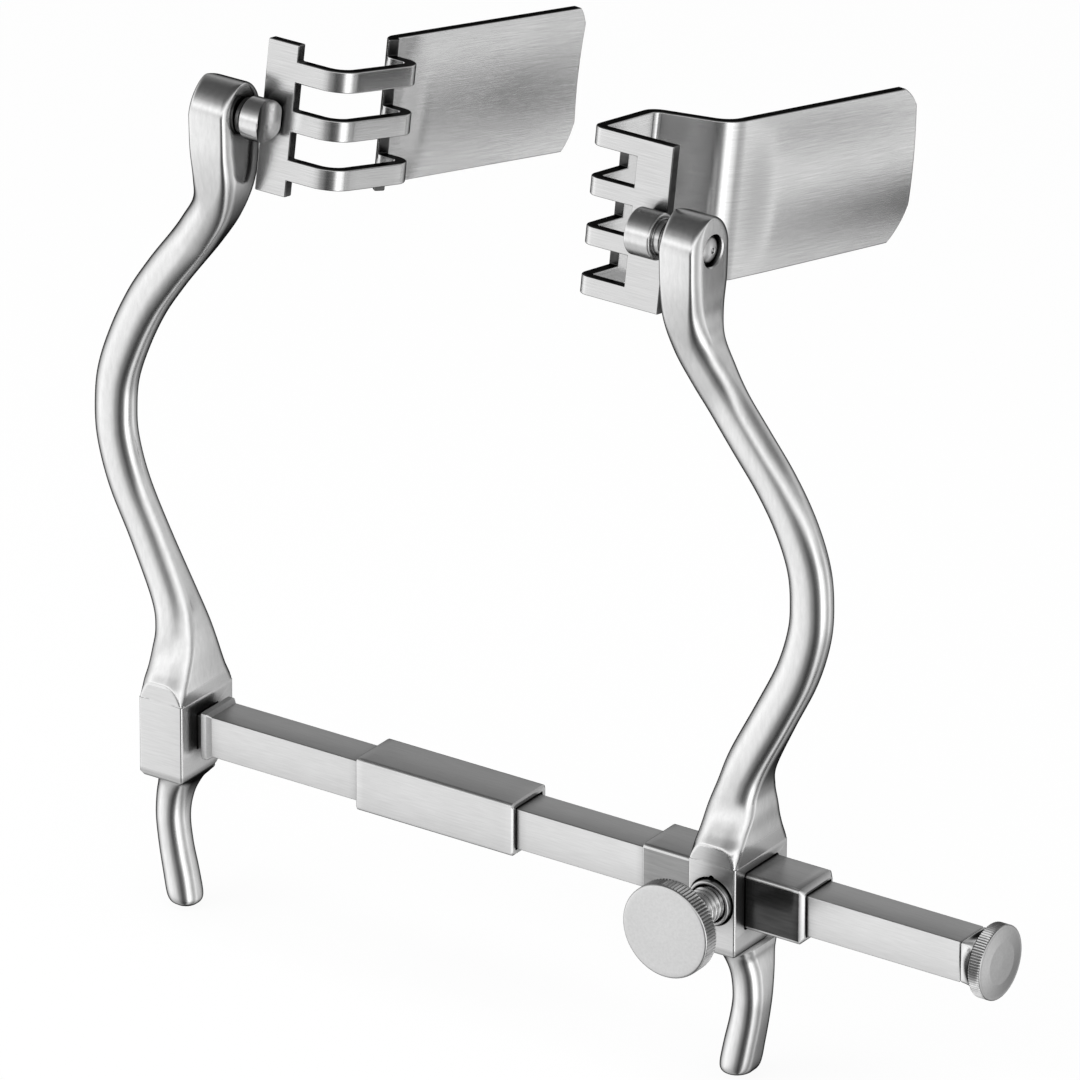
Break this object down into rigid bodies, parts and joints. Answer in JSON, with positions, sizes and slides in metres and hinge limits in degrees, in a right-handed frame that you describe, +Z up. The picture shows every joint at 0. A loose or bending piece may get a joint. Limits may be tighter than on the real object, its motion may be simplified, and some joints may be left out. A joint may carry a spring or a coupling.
{
  "type": "bladder_retractor",
  "caption": "Self-retaining bladder retractor: two bowed arms on a square bar, one sliding and locked by a thumbscrew, each with a swivelling slotted blade",
  "frame": {"origin": "middle of the crossbar's front flat on its free stretch beside the left block", "axes": "X along the crossbar from the fixed left arm to the end knob, Y away from the viewer along the blades, Z up the arms"},
  "size_m": [0.2445, 0.124, 0.2167],
  "materials": {
    "polished": "polished stainless steel with soft long reflections",
    "satin": "satin stainless steel, fine even grain",
    "brushed": "stainless sheet brushed along its length",
    "dark": "darker spring and bearing steel, mostly hidden"
  },
  "bodies": {
    "frame": {"crossbar": "satin", "bar_screw": "satin", "left_arm": "polished", "left_friction_washer": "dark", "left_spring_washer": "dark", "end_collar": "polished"},
    "centre_slide": {"centre_sleeve": "satin", "sleeve_spring": "dark"},
    "right_slide": {"slider_sleeve": "satin", "right_arm": "polished", "screw_bush": "satin", "right_friction_washer": "dark", "right_spring_washer": "dark"},
    "left_swivel": {"left_blade": "brushed", "left_pivot": "polished", "left_pivot_screw": "satin"},
    "right_swivel": {"right_blade": "brushed", "right_pivot": "polished", "right_pivot_screw": "satin"},
    "clamp_pad": {"pressure_pad": "dark"},
    "thumbscrew": {"thumbscrew_head": "satin", "thumbscrew_shank": "polished"},
    "knob": {"end_knob": "satin", "end_stud": "dark"}
  },
  "joints": [
    {"name": "centre_sleeve_slide", "type": "slide", "parent": "frame", "child": "centre_slide", "axis": [1, 0, 0], "range_m": [-0.03, 0.006]},
    {"name": "right_arm_slide", "type": "slide", "parent": "frame", "child": "right_slide", "axis": [1, 0, 0], "range_m": [-0.028, 0.038]},
    {"name": "left_blade_swivel", "type": "hinge", "parent": "frame", "child": "left_swivel", "pos_m": [-0.00365, 0.0048, 0.1533], "axis": [1, 0, 0], "range_deg": [-50, 40]},
    {"name": "right_blade_swivel", "type": "hinge", "parent": "right_slide", "child": "right_swivel", "pos_m": [0.12215, 0.0048, 0.1514], "axis": [1, 0, 0], "range_deg": [-50, 40]},
    {"name": "clamp_travel", "type": "slide", "parent": "right_slide", "child": "clamp_pad", "axis": [0, -1, 0], "range_m": [0, 0.003]},
    {"name": "thumbscrew_turn", "type": "hinge", "parent": "clamp_pad", "child": "thumbscrew", "pos_m": [0.1353, -0.02, 0], "axis": [0, -1, 0], "range_deg": [0, 722]},
    {"name": "end_knob_turn", "type": "hinge", "parent": "frame", "child": "knob", "pos_m": [0.203, 0.0048, 0], "axis": [1, 0, 0], "range_deg": [-180, 180]}
  ],
  "couplings": [
    {"joint": "thumbscrew_turn", "follows": "clamp_travel", "rad_per_m": 4188.8}
  ]
}
